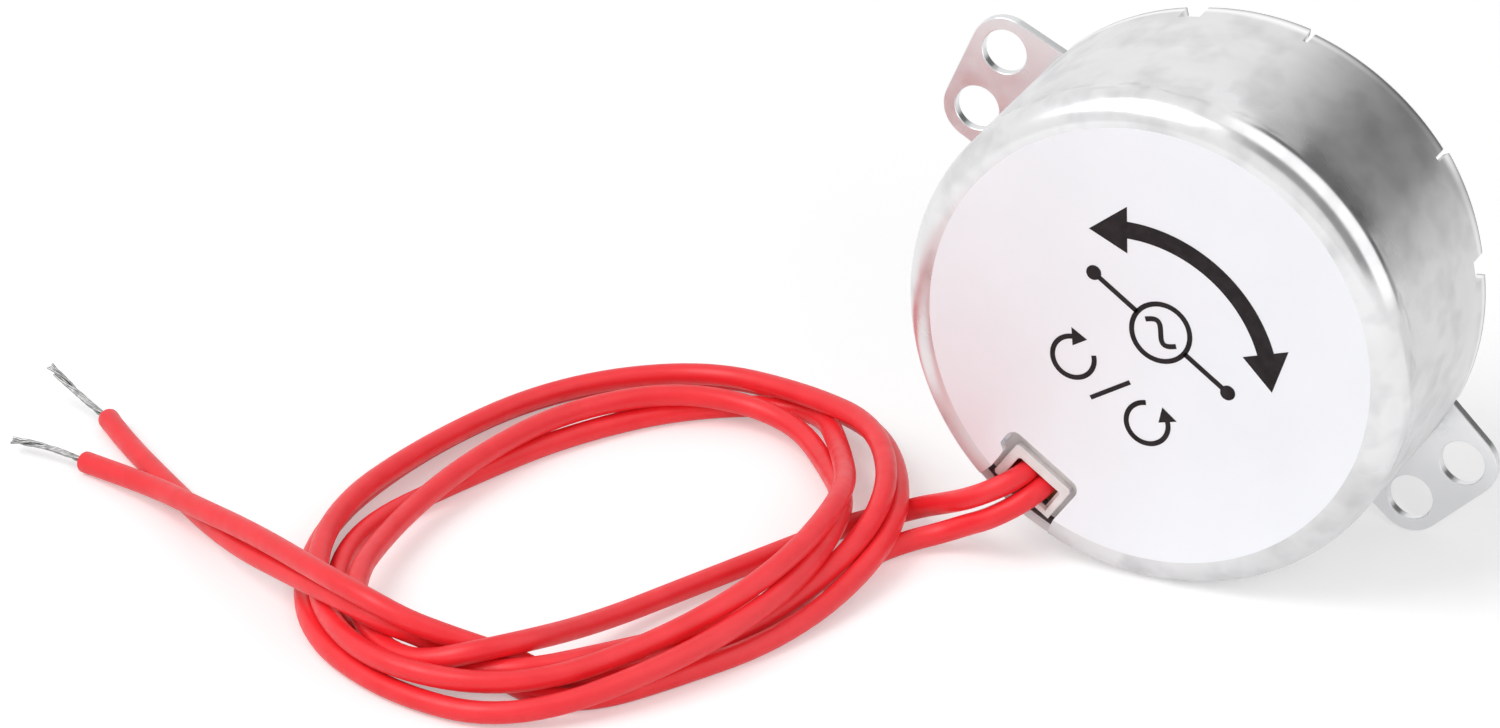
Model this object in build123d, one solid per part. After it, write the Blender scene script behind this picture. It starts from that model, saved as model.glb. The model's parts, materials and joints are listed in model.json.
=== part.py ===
from build123d import *
import os
from math import acos, asin, atan2, cos, degrees, hypot, pi, radians, sin, sqrt, tan

os.makedirs("parts", exist_ok=True)

# Synchronous gear motor with two coiled leads, in millimetres.
# The motor stands on its rim: +Z up, the output shaft along +Y, the plain back face towards -Y.
# Inside the motor, local x runs along the mounting ears, local y towards the wire exit,
# and local z along the axis from the back face to the shaft.

# Housing
body_diameter = 50.0
body_depth = 22.0
sheet = 0.8
edge_radius = 3.0
edge_steps = 5               # flats that make up the rounded edge
exit_angle = -125.2          # direction of the wire exit round the axis, from +X towards +Z

# Rim of the housing: folded tabs, slits beside them and open notches
tab_angles = (-90.0, 90.0)
tab_half_angle = 19.2
tab_reach = 1.8
slit_width = 0.5
slit_depth = 1.9
notch_angle = 45.7
notch_width = 2.2
notch_depth = 2.3

# Wire exit in the back face
exit_half_width = 4.15
exit_edge_half_angle = 10.4  # of the part that runs through the rounded edge
exit_reach = 7.8             # from the side wall towards the axis
exit_depth = 1.9
exit_corner = 1.0

# Front cover with its ears
cover_thickness = 1.0
cover_play = 0.2
ear_hole_diameter = 4.5
ear_corner = 3.5
main_hole_reach = 4.0        # from the side wall
second_hole_reach = 3.4
second_hole_angle = 13.8
ear_low_edge_angle = 10.8
ear_high_edge_angle = 4.8
ear_play = 0.25

# Stator stack
pole_plate = 1.0
bobbin_wall = 0.8
bobbin_share = 8.9 / 22      # of the body depth
bobbin_flange_gap = 1.3
winding_inset = 0.7
claw_count = 8
claw_thickness = 0.8
claw_inset = 2.5             # of the claws' tips from the far pole plate
claw_root_width = 4.2
claw_tip_width = 2.4
air_gap = 0.4
claw_play = 0.3
gear_plate_thickness = 1.0

# Rotor
magnet_share = 0.208         # magnet radius, of the body diameter
magnet_inset = 1.3           # shorter than the bobbin
rotor_hub_radius = 4.4
rotor_float = 0.5
foot_radius = 4.0
foot_thickness = 0.6
washer_thickness = 0.4
washer_radius = 2.2

# Gear train: rotor pinion, three double gears and the output gear
pinion_teeth = 12
wheel_1_teeth = 36
wheel_2_teeth = 36
wheel_3_teeth = 30
output_teeth = 40
module_shares = (0.010, 0.010, 0.011, 0.012)   # modules, of the body diameter
pressure_angle = 20.0
addendum = 0.75              # in modules
dedendum = 1.0               # in modules
backlash = 0.12
level_gap = 0.5
thrust_room = 0.7            # between the output gear and the cover
pin_diameter = 1.5
running_play = 0.04
collar_radius = 1.45
end_play = 0.1
gear_3_direction = 50.0      # from the output shaft
gear_2_direction = 126.6     # from gear 3

# Spacer posts between gear plate and cover
post_radius = 1.5
post_inset = 2.5             # from the cover's edge
post_angles = (-20.0, 105.0, 200.0)

# Output shaft and its bush
shaft_diameter = 7.0
shaft_free_length = 7.8
shaft_offset_share = 0.22    # of the body diameter
shaft_flat_depth = 0.7
shaft_chamfer = 0.4
journal_step = 0.5           # journal over shaft, on the radius
gear_seat_step = 0.5
pivot_step = 1.5
output_hub_wall = 1.6
output_hub_length = 1.6
bush_wall = 1.0
bush_flange_step = 1.5
bush_flange = 0.8
bush_reach = 2.2

# Lead guide in the wire exit
guide_width = 6.9
guide_wall = 0.85
guide_back = 1.35
guide_gap = 1.0              # from the inner edge of the exit
guide_depth = 4.4
guide_height = 0.8

# Leads
wire_diameter = 2.1
wire_sides = 6
strand_diameter = 0.7
strand_length = 8.0
lead_spacing = 2.4
lead_gap = 0.2               # between lead and guide
lead_straight = 2.4
coil_run_in = 6.5
coil_run_out = 6.0
coil_centre = (-45.5, -31.8)
coil_half_width = 16.5
coil_half_length = 24.0
coil_tilt = -6.0
coil_pitch = 2.5
coil_start_angle = -160.0
coil_quarters = 7
inner_lift = 3.55
outer_lift = 4.9
tail_lift = 2.85

# Sizes that follow from the ones above
body_radius = body_diameter / 2
bore_radius = body_radius - sheet
inner_edge = max(edge_radius - sheet, sheet)
exit_inner = body_radius - exit_reach
cover_inner = body_depth - cover_thickness
cover_radius = bore_radius - cover_play
bobbin_height = bobbin_share * body_depth
bobbin_flange_radius = bore_radius - bobbin_flange_gap
winding_radius = bobbin_flange_radius - winding_inset
stator_bottom = sheet
bobbin_bottom = stator_bottom + pole_plate
bobbin_top = bobbin_bottom + bobbin_height
gear_plate_bottom = bobbin_top + pole_plate
gear_plate_top = gear_plate_bottom + gear_plate_thickness
claw_length = bobbin_height - claw_inset
magnet_radius = magnet_share * body_diameter
magnet_height = bobbin_height - magnet_inset
claw_inner = magnet_radius + air_gap
claw_outer = claw_inner + claw_thickness
bobbin_bore = claw_outer + claw_play
plate_radius = bore_radius - cover_play
lower_plate_radius = bore_radius - inner_edge
module_1, module_2, module_3, module_4 = (share * body_diameter for share in module_shares)
post_circle = cover_radius - post_inset
pin_radius = pin_diameter / 2
gear_bore = pin_radius + running_play
bush_top = body_depth + bush_reach
shaft_tip = bush_top + shaft_free_length
shaft_offset = shaft_offset_share * body_diameter
shaft_radius = shaft_diameter / 2
journal_radius = shaft_radius + journal_step
gear_seat_radius = shaft_radius - gear_seat_step
pivot_radius = shaft_radius - pivot_step
output_hub_radius = gear_seat_radius + output_hub_wall
bush_radius = journal_radius + bush_wall
bush_flange_radius = bush_radius + bush_flange_step
wire_radius = wire_diameter / 2
guide_inner = exit_inner + guide_gap
guide_outer = guide_inner + guide_depth
lead_start = guide_inner + guide_back + lead_gap + wire_radius
main_hole_radius = body_radius + main_hole_reach
second_hole_radius = body_radius + second_hole_reach

# Gear levels, from the gear plate up to the cover
face_width = (cover_inner - gear_plate_top - 4 * level_gap - thrust_room) / 4
level_1 = gear_plate_top + level_gap
level_2 = level_1 + face_width + level_gap
level_3 = level_2 + face_width + level_gap
level_4 = level_3 + face_width + level_gap


def polar(radius, angle):
    """Point at a radius and an angle in degrees."""
    return (radius * cos(radians(angle)), radius * sin(radians(angle)))


def step(start, distance, angle):
    """Point at a distance from start, in a direction given in degrees."""
    dx, dy = polar(distance, angle)
    return (start[0] + dx, start[1] + dy)


def third_corner(p, q, p_length, q_length):
    """Left-hand point at p_length from p and q_length from q."""
    dx, dy = q[0] - p[0], q[1] - p[1]
    base = hypot(dx, dy)
    along = (base**2 + p_length**2 - q_length**2) / (2 * base)
    aside = sqrt(p_length**2 - along**2)
    return (p[0] + (dx * along - dy * aside) / base, p[1] + (dy * along + dx * aside) / base)


# Centres of the gear train in the local plane
rotor_at = (0.0, 0.0)
output_at = (0.0, -shaft_offset)
gear_3_at = step(output_at, module_4 * (pinion_teeth + output_teeth) / 2, gear_3_direction)
gear_2_at = step(gear_3_at, module_3 * (pinion_teeth + wheel_3_teeth) / 2, gear_2_direction)
gear_1_at = third_corner(
    rotor_at,
    gear_2_at,
    module_1 * (pinion_teeth + wheel_1_teeth) / 2,
    module_2 * (pinion_teeth + wheel_2_teeth) / 2,
)

# Ear holes on the right, and the frame that puts the motor on its rim
main_hole_at = (main_hole_radius, 0.0)
second_hole_at = polar(second_hole_radius, second_hole_angle)
radial = polar(1.0, exit_angle)
along_ears = (-radial[1], radial[0])


def ear_reach(axis):
    """Least and greatest reach of the ears and the rim along X (0) or Z (1), from the axis."""
    low, high = -body_radius, body_radius
    for side in (-1, 1):
        for hole in (main_hole_at, second_hole_at):
            centre = side * hole[0] * along_ears[axis] + hole[1] * radial[axis]
            low = min(low, centre - ear_corner)
            high = max(high, centre + ear_corner)
    return low, high


axis_height = -ear_reach(1)[0]
axis_x = -sum(ear_reach(0)) / 2
back_y = -shaft_tip / 2
motor_frame = Plane(
    origin=(axis_x, back_y, axis_height),
    x_dir=(along_ears[0], 0, along_ears[1]),
    z_dir=(0, 1, 0),
)


def ring(outer, inner, bottom, top):
    """Round washer about the local axis."""
    return extrude(Plane.XY.offset(bottom) * (Circle(outer) - Circle(inner)), top - bottom)


def disc(radius, bottom, top, at=(0.0, 0.0)):
    """Round bar parallel to the local axis."""
    return extrude(Plane.XY.offset(bottom) * Pos(*at) * Circle(radius), top - bottom)


def slab(width, near, far, bottom, top):
    """Box across local y, between two distances from the axis."""
    middle = (near + far) / 2
    return Pos(0, middle, (bottom + top) / 2) * Box(width, far - near, top - bottom)


def turned(profile):
    """Solid of revolution about the local axis from (radius, z) points."""
    return revolve(make_face(Plane.XZ * Polyline(*profile, close=True)), Axis.Z)


# Housing


def cup():
    """Deep-drawn cup: rounded back edge outside, a plain bevel inside."""
    flat_radius = body_radius - edge_radius
    profile = [(0, 0)]
    for index in range(edge_steps + 1):
        across, down = polar(edge_radius, 90 * index / edge_steps)
        profile.append((flat_radius + down, edge_radius - across))
    profile += [
        (body_radius, body_depth),
        (bore_radius, body_depth),
        (bore_radius, sheet + inner_edge),
        (bore_radius - inner_edge, sheet),
        (0, sheet),
    ]
    return turned(profile)


def folded_tab(middle_angle):
    """Tab of the rim folded over the cover, round the middle angle."""
    top = body_depth + sheet
    lip = Polyline(
        (bore_radius, body_depth),
        (body_radius - tab_reach, body_depth),
        (body_radius - tab_reach, top),
        (bore_radius, top),
        (body_radius - sheet * 0.3, top - sheet * 0.3),
        (body_radius, body_depth),
        close=True,
    )
    face = Rot(0, 0, middle_angle - tab_half_angle) * make_face(Plane.XZ * lip)
    return revolve(face, Axis.Z, 2 * tab_half_angle)


def rim_cut(angle, width, depth):
    """Cut through the rim at an angle, down from its end."""
    top = body_depth + 2 * sheet
    bottom = body_depth - depth
    bar = Pos(body_radius, 0, (top + bottom) / 2) * Box(6 * sheet, width, top - bottom)
    return Rot(0, 0, angle) * bar


def exit_window():
    """Opening for the leads through the back face and its rounded edge."""
    flat_radius = body_radius - edge_radius
    window = slab(2 * exit_half_width, exit_inner, flat_radius, -sheet, exit_depth)
    window = fillet(window.edges().filter_by(Axis.Z).group_by(Axis.Y)[0], exit_corner)
    outer = body_radius + sheet
    start = 90 - exit_edge_half_angle
    sector = make_face(
        [
            Line(polar(flat_radius, start), polar(outer, start)),
            CenterArc((0, 0), outer, start, 2 * exit_edge_half_angle),
            Line(polar(outer, 180 - start), polar(flat_radius, 180 - start)),
            Line(polar(flat_radius, 180 - start), polar(flat_radius, start)),
        ]
    )
    return window + extrude(Plane.XY.offset(-sheet) * sector, sheet + exit_depth)


def ear_outline(grow=0.0):
    """Outline of the ear on the right, with its two rounded corners."""
    corner = ear_corner + grow
    across = degrees(atan2(second_hole_at[1] - main_hole_at[1], second_hole_at[0] - main_hole_at[0])) - 90
    low_normal = ear_low_edge_angle - 90
    high_normal = ear_high_edge_angle + 90
    low_end = step(main_hole_at, corner, low_normal)
    high_end = step(second_hole_at, corner, high_normal)
    root = cover_radius - 4 * ear_corner / 3
    low_root = (root, low_end[1] - (low_end[0] - root) * tan(radians(ear_low_edge_angle)))
    high_root = (root, high_end[1] - (high_end[0] - root) * tan(radians(ear_high_edge_angle)))
    plate = Polygon(
        low_root,
        low_end,
        step(main_hole_at, corner, across),
        step(second_hole_at, corner, across),
        high_end,
        high_root,
        align=None,
    )
    return plate + Pos(*main_hole_at) * Circle(corner) + Pos(*second_hole_at) * Circle(corner)


def back_housing():
    body = cup()
    for middle in tab_angles:
        body += folded_tab(middle)
        for side in (-1, 1):
            body -= rim_cut(middle + side * tab_half_angle, slit_width, slit_depth)
            body -= rim_cut(middle + side * notch_angle, notch_width, notch_depth)
    ear_gap = extrude(Plane.XY.offset(cover_inner) * ear_outline(ear_play), 2 * cover_thickness)
    return body - ear_gap - mirror(ear_gap, Plane.YZ) - exit_window()


# Front cover, bush and posts


def front_cover():
    ear = ear_outline()
    for hole in (main_hole_at, second_hole_at):
        ear -= Pos(*hole) * Circle(ear_hole_diameter / 2)
    plate = Circle(cover_radius) + ear + mirror(ear, Plane.YZ)
    plate -= Pos(*output_at) * Circle(bush_radius)
    for pin in (gear_1_at, gear_2_at, gear_3_at):
        plate -= Pos(*pin) * Circle(pin_radius)
    return extrude(Plane.XY.offset(cover_inner) * plate, cover_thickness)


def output_bush():
    bore = journal_radius + running_play
    profile = [
        (bore, cover_inner),
        (bush_radius, cover_inner),
        (bush_radius, body_depth),
        (bush_flange_radius, body_depth),
        (bush_flange_radius, body_depth + bush_flange),
        (bush_radius, body_depth + bush_flange),
        (bush_radius, bush_top),
        (bore, bush_top),
    ]
    return Pos(*output_at) * turned(profile)


def spacer_posts():
    posts = Part()
    for angle in post_angles:
        posts += disc(post_radius, gear_plate_top, cover_inner, polar(post_circle, angle))
    return posts


# Stator


def claw(root_z, direction):
    """One tapered claw from root_z, up (1) or down (-1), at local +x."""
    half_root, half_tip = claw_root_width / 2, claw_tip_width / 2
    tip_z = root_z + direction * claw_length
    side = Plane.YZ * Polyline(
        (-half_root, root_z), (half_root, root_z), (half_tip, tip_z), (-half_tip, tip_z), close=True
    )
    blade = extrude(make_face(side), 2 * claw_outer)
    low, high = min(root_z, tip_z), max(root_z, tip_z)
    return blade & ring(claw_outer, claw_inner, low, high)


def pole_star(radius, bottom, direction, turn):
    """Pole plate with its ring of claws."""
    plate = ring(radius, claw_inner, bottom, bottom + pole_plate)
    root = bottom if direction > 0 else bottom + pole_plate
    for index in range(claw_count):
        plate += Rot(0, 0, turn + index * 360 / claw_count) * claw(root, direction)
    return plate


def lower_pole_plate():
    cut = slab(2 * exit_half_width, exit_inner, body_radius, 0, bobbin_bottom)
    return pole_star(lower_plate_radius, stator_bottom, 1, 0) - cut


def upper_pole_plate():
    return pole_star(plate_radius, bobbin_top, -1, 180 / claw_count)


def coil_bobbin():
    inner, neck = bobbin_bore, bobbin_bore + bobbin_wall
    profile = [
        (inner, bobbin_bottom),
        (bobbin_flange_radius, bobbin_bottom),
        (bobbin_flange_radius, bobbin_bottom + bobbin_wall),
        (neck, bobbin_bottom + bobbin_wall),
        (neck, bobbin_top - bobbin_wall),
        (bobbin_flange_radius, bobbin_top - bobbin_wall),
        (bobbin_flange_radius, bobbin_top),
        (inner, bobbin_top),
    ]
    lead_slot = slab(
        guide_width - 2 * guide_wall,
        guide_inner + guide_back,
        body_radius,
        0,
        bobbin_bottom + bobbin_wall,
    )
    return turned(profile) - lead_slot


def coil_winding():
    return ring(
        winding_radius, bobbin_bore + bobbin_wall, bobbin_bottom + bobbin_wall, bobbin_top - bobbin_wall
    )


def lead_guide():
    """U-shaped frame round the leads, open towards the rim."""
    bottom = bobbin_bottom - guide_height
    block = slab(guide_width, guide_inner, guide_outer, bottom, bobbin_bottom)
    mouth = slab(guide_width - 2 * guide_wall, guide_inner + guide_back, body_radius, 0, body_depth)
    return block - mouth


def gear_plate():
    plate = ring(plate_radius, rotor_hub_radius + level_gap, gear_plate_bottom, gear_plate_top)
    plate -= disc(pivot_radius + running_play, 0, body_depth, output_at)
    for pin in (gear_1_at, gear_2_at, gear_3_at):
        plate -= disc(pin_radius, 0, body_depth, pin)
    return plate


# Gears


def tooth_edges(teeth, module, phase):
    """Closed outline of a spur gear, one tooth centred on the phase angle in degrees."""
    pitch = module * teeth / 2
    base = pitch * cos(radians(pressure_angle))
    tip = pitch + addendum * module
    root = pitch - dedendum * module
    start = max(base, root)

    def half_angle(radius):
        """Half the tooth's thickness at a radius, as an angle in degrees."""
        slope = acos(min(1.0, base / radius))
        pitch_slope = radians(pressure_angle)
        swing = tan(pitch_slope) - pitch_slope - tan(slope) + slope
        return degrees(pi / (2 * teeth) - backlash / (4 * pitch) + swing)

    edges = []
    for index in range(teeth):
        centre = phase + index * 360 / teeth
        following = centre + 360 / teeth
        wide, narrow = half_angle(start), half_angle(tip)
        if root < start:
            edges.append(Line(polar(root, centre - wide), polar(start, centre - wide)))
        edges.append(Line(polar(start, centre - wide), polar(tip, centre - narrow)))
        edges.append(Line(polar(tip, centre - narrow), polar(tip, centre + narrow)))
        edges.append(Line(polar(tip, centre + narrow), polar(start, centre + wide)))
        if root < start:
            edges.append(Line(polar(start, centre + wide), polar(root, centre + wide)))
        edges.append(Line(polar(root, centre + wide), polar(root, following - wide)))
    return edges


def toothed(teeth, module, phase, bottom, top):
    """Toothed disc about the local axis."""
    return extrude(Plane.XY.offset(bottom) * make_face(tooth_edges(teeth, module, phase)), top - bottom)


def meshing_phase(driver_phase, driver_teeth, driver_at, teeth, at):
    """Phase that sets a gap of this gear against a tooth of its driver."""
    line = degrees(atan2(at[1] - driver_at[1], at[0] - driver_at[0]))
    part_tooth = (line - driver_phase) / (360 / driver_teeth)
    return line + 180 - (0.5 - part_tooth) * 360 / teeth


rotor_phase = 0.0
gear_1_phase = meshing_phase(rotor_phase, pinion_teeth, rotor_at, wheel_1_teeth, gear_1_at)
gear_2_phase = meshing_phase(gear_1_phase, pinion_teeth, gear_1_at, wheel_2_teeth, gear_2_at)
gear_3_phase = meshing_phase(gear_2_phase, pinion_teeth, gear_2_at, wheel_3_teeth, gear_3_at)
output_phase = meshing_phase(gear_3_phase, pinion_teeth, gear_3_at, output_teeth, output_at)


def double_gear(at, phase, wheel_teeth, wheel_module, pinion_module, level):
    """Wheel at a level, the next stage's pinion from it up to the cover, and a collar down to the plate."""
    wheel_top = level + face_width
    gear = toothed(wheel_teeth, wheel_module, phase, level, wheel_top)
    gear += toothed(pinion_teeth, pinion_module, phase, wheel_top, cover_inner - end_play)
    gear += disc(collar_radius, gear_plate_top + end_play, level)
    gear -= disc(gear_bore, 0, body_depth)
    return Pos(*at) * gear


def gear_pin(at):
    """Fixed pin of a double gear, through the gear plate and the cover."""
    return disc(pin_radius, gear_plate_bottom, body_depth, at)


def rotor_bottom():
    return sheet + foot_thickness + washer_thickness + end_play


def rotor_hub():
    magnet_top = rotor_bottom() + rotor_float + magnet_height
    hub = disc(rotor_hub_radius, rotor_bottom(), magnet_top + end_play)
    hub += toothed(pinion_teeth, module_1, rotor_phase, magnet_top, level_1 + face_width)
    return hub - disc(gear_bore, 0, body_depth)


def rotor_magnet():
    bottom = rotor_bottom() + rotor_float
    return ring(magnet_radius, rotor_hub_radius, bottom, bottom + magnet_height)


def rotor_pin():
    pin = disc(foot_radius, sheet, sheet + foot_thickness)
    return pin + disc(pin_radius, sheet, level_1 + face_width + level_gap)


def rotor_washer():
    bottom = sheet + foot_thickness
    return ring(washer_radius, pin_radius, bottom, bottom + washer_thickness)


# Output


def output_shaft():
    profile = [
        (0, gear_plate_bottom + end_play),
        (pivot_radius, gear_plate_bottom + end_play),
        (pivot_radius, gear_plate_top + end_play),
        (gear_seat_radius, gear_plate_top + end_play),
        (gear_seat_radius, level_4 + face_width),
        (journal_radius, level_4 + face_width),
        (journal_radius, bush_top),
        (shaft_radius, bush_top),
        (shaft_radius, shaft_tip - shaft_chamfer),
        (shaft_radius - shaft_chamfer, shaft_tip),
        (0, shaft_tip),
    ]
    shaft = turned(profile)
    flat = slab(
        2 * shaft_diameter,
        shaft_radius - shaft_flat_depth,
        2 * shaft_radius,
        bush_top,
        shaft_tip + 1,
    )
    return Pos(*output_at) * (shaft - flat)


def output_gear():
    gear = toothed(output_teeth, module_4, output_phase, level_4, level_4 + face_width)
    gear += disc(output_hub_radius, level_4 - output_hub_length, level_4)
    gear -= disc(gear_seat_radius, 0, body_depth)
    return Pos(*output_at) * gear


def thrust_washer():
    bottom = level_4 + face_width
    return Pos(*output_at) * ring(bush_radius, journal_radius, bottom, cover_inner - end_play)


# Leads


def lead_exit_point(side, distance, depth):
    """Point in the wire exit, in the outer frame: side -1 or 1, distance from the axis, depth."""
    return motor_frame.from_local_coords(Vector(side * lead_spacing / 2, distance, depth))


def coil_node(lead, quarter):
    """Point and direction of a lead's coil after a number of quarter turns."""
    angle = radians(coil_start_angle - 90 * quarter)
    ring_number = lead + quarter / 2
    half_width = coil_half_width + ring_number * coil_pitch
    half_length = coil_half_length + ring_number * coil_pitch
    lift = 0.0
    if quarter == 2:
        lift = inner_lift
    if quarter == 6:
        lift = outer_lift
    if quarter == coil_quarters:
        lift = tail_lift
    point = Vector(half_width * cos(angle), half_length * sin(angle), 0).rotate(Axis.Z, coil_tilt)
    heading = Vector(half_width * sin(angle), -half_length * cos(angle), 0).rotate(Axis.Z, coil_tilt)
    return point + Vector(*coil_centre, wire_radius + lift), heading.normalized()


def biarc(start, start_heading, end, end_heading):
    """Two tangent arcs from one point and heading to another."""
    chord = end - start
    spread = 2 * (1 - start_heading.dot(end_heading))
    reach = chord.dot(start_heading + end_heading)
    arm = (sqrt(reach**2 + spread * chord.dot(chord)) - reach) / spread
    joint = (start + end + (start_heading - end_heading) * arm) / 2
    first = TangentArc(start, joint, tangent=start_heading)
    return [first, TangentArc(joint, end, tangent=first % 1)]


def coil_path(lead):
    """Loops of one lead, a quarter turn at a time."""
    arcs = []
    for quarter in range(coil_quarters):
        start, start_heading = coil_node(lead, quarter)
        end, end_heading = coil_node(lead, quarter + 1)
        arcs += biarc(start, start_heading, end, end_heading)
    return Wire(arcs)


def corner_radii(points):
    """Radius at each corner of a route: 0.45 of the shorter run over the tangent of half the turn."""
    radii = []
    for before, here, after in zip(points, points[1:], points[2:]):
        half_turn = radians((here - before).get_angle(after - here) / 2)
        radii.append(0.45 * min((here - before).length, (after - here).length) / tan(half_turn))
    return radii


def route_path(name, points):
    """Straight runs joined by tangent arcs."""
    points = [Vector(*p) for p in points]
    radii = corner_radii(points)
    print(name, "radii", [round(r, 1) for r in radii])
    return FilletPolyline(*points, radius=radii)


def tube(name, path, diameter):
    """Lead along a path, with its volume set against section times length."""
    section = Plane(origin=path @ 0, z_dir=path % 0) * RegularPolygon(diameter / 2, wire_sides)
    solid = sweep(section, path=path)
    share = solid.volume / (section.area * path.length)
    print(name, "length", round(path.length, 1), "volume share", round(share, 4))
    return solid


def before_coil(lead, distance):
    """Point on the straight line into a lead's coil."""
    start, heading = coil_node(lead, 0)
    return start - heading * distance


def after_coil(lead, distance):
    """Point on the straight line out of a lead's coil."""
    end, heading = coil_node(lead, coil_quarters)
    return end + heading * distance


lead_depth = bobbin_bottom + bobbin_wall
floor_z = wire_radius
over_coil = wire_radius + tail_lift

exit_routes = [
    [
        lead_exit_point(-1, lead_start, lead_depth),
        lead_exit_point(-1, lead_start, lead_depth - lead_straight),
        (-13.1, -17.2, 7.9),
        (-15.4, -17.3, 6.7),
        (-19.2, -15.8, 4.2),
        (-23.0, -14.8, 1.9),
        (-26.9, -18.0, floor_z),
        (-31.9, -27.0, floor_z),
        (-39.6, -42.4, floor_z),
        (-45.4, -49.4, floor_z),
        (-52.4, -51.2, floor_z),
        before_coil(0, coil_run_in),
        coil_node(0, 0)[0],
    ],
    [
        lead_exit_point(1, lead_start, lead_depth),
        lead_exit_point(1, lead_start, lead_depth - lead_straight),
        (-10.9, -17.2, 6.3),
        (-12.7, -17.8, 5.1),
        (-15.8, -17.6, 3.0),
        (-19.4, -18.8, 1.3),
        (-22.2, -22.6, floor_z),
        (-27.0, -33.4, floor_z),
        (-33.6, -45.0, floor_z),
        (-40.6, -51.6, floor_z),
        (-48.4, -54.6, floor_z),
        (-55.9, -53.2, floor_z),
        before_coil(1, coil_run_in),
        coil_node(1, 0)[0],
    ],
]

tail_routes = [
    [
        coil_node(0, coil_quarters)[0],
        after_coil(0, coil_run_out),
        (-53.4, -63.6, over_coil),
        (-64.4, -56.8, over_coil),
        (-73.2, -50.6, over_coil),
        (-81.2, -44.6, 1.9),
        (-89.8, -37.9, floor_z),
        (-101.6, -27.6, floor_z),
    ],
    [
        coil_node(1, coil_quarters)[0],
        after_coil(1, coil_run_out),
        (-53.4, -66.6, over_coil),
        (-65.0, -60.2, over_coil),
        (-74.0, -54.4, over_coil),
        (-82.4, -48.6, 1.8),
        (-91.0, -43.0, floor_z),
        (-100.5, -36.8, floor_z),
    ],
]


def least_self_gap(points, apart):
    """Least gap of a lead to itself, between points that lie apart along it."""
    best = 1e9
    for i in range(len(points) - apart):
        for j in range(i + apart, len(points)):
            best = min(best, (points[i] - points[j]).length)
    return best - wire_diameter


def leads():
    """Exit, loops, tail and bare strands of both leads."""
    pieces = {}
    samples = 160
    loop_points = []
    for lead, letter in enumerate("ab"):
        stem = f"lead_{letter}"
        pieces[f"{stem}_exit"] = tube(f"{stem}_exit", route_path(stem, exit_routes[lead]), wire_diameter)
        loops = coil_path(lead)
        pieces[f"{stem}_loops"] = tube(f"{stem}_loops", loops, wire_diameter)
        points = [loops @ (i / samples) for i in range(samples + 1)]
        loop_points.append(points)
        print(stem, "least gap of the loops to themselves", round(least_self_gap(points, samples // 4), 2))
        tail = route_path(f"{stem} tail", tail_routes[lead])
        pieces[f"{stem}_tail"] = tube(f"{stem}_tail", tail, wire_diameter)
        end, heading = tail @ 1, tail % 1
        strands = Line(end, end + heading * strand_length)
        pieces[f"{stem}_strands"] = tube(f"{stem}_strands", strands, strand_diameter)
    between = min((p - q).length for p in loop_points[0] for q in loop_points[1])
    print("least gap between the two leads' loops", round(between - wire_diameter, 2))
    return pieces


motor = {
    "back_housing": back_housing(),
    "front_cover": front_cover(),
    "output_bush": output_bush(),
    "spacer_posts": spacer_posts(),
    "lower_pole_plate": lower_pole_plate(),
    "upper_pole_plate": upper_pole_plate(),
    "coil_bobbin": coil_bobbin(),
    "coil_winding": coil_winding(),
    "lead_guide": lead_guide(),
    "gear_plate": gear_plate(),
    "rotor_pin": rotor_pin(),
    "rotor_washer": rotor_washer(),
    "rotor_hub": rotor_hub(),
    "rotor_magnet": rotor_magnet(),
    "gear_1": double_gear(gear_1_at, gear_1_phase, wheel_1_teeth, module_1, module_2, level_1),
    "gear_2": double_gear(gear_2_at, gear_2_phase, wheel_2_teeth, module_2, module_3, level_2),
    "gear_3": double_gear(gear_3_at, gear_3_phase, wheel_3_teeth, module_3, module_4, level_3),
    "gear_1_pin": gear_pin(gear_1_at),
    "gear_2_pin": gear_pin(gear_2_at),
    "gear_3_pin": gear_pin(gear_3_at),
    "output_gear": output_gear(),
    "output_shaft": output_shaft(),
    "thrust_washer": thrust_washer(),
}

for name, piece in motor.items():
    export_step(motor_frame.location * piece, f"parts/{name}.step")
for name, piece in leads().items():
    export_step(piece, f"parts/{name}.step")

for name, at in (("rotor", rotor_at), ("gear_1", gear_1_at), ("gear_2", gear_2_at), ("gear_3", gear_3_at),
                 ("output", output_at)):
    centre = motor_frame.from_local_coords(Vector(*at, 0))
    print(name, "axis at", round(centre.X, 4), round(centre.Y, 4), round(centre.Z, 4))
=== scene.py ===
"""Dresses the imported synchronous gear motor: pressed housing, ears, leads, stage and light."""
import json
import math

import bmesh
import bpy
from mathutils import Matrix, Vector


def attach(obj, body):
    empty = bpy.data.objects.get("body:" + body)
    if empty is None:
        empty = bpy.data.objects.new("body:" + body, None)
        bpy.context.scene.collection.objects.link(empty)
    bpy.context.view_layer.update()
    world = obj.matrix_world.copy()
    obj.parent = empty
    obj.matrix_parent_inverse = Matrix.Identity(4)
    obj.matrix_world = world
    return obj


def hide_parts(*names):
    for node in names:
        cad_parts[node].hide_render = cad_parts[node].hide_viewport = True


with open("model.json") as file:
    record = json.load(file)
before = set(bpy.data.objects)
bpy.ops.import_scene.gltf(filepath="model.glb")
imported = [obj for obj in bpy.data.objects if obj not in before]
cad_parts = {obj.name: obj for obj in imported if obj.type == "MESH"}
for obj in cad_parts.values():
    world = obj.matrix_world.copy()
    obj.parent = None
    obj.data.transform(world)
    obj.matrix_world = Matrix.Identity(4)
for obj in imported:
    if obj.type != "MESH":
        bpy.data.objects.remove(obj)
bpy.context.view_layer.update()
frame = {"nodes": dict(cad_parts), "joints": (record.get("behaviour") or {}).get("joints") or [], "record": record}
scene = bpy.context.scene
MM = 0.001

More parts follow.
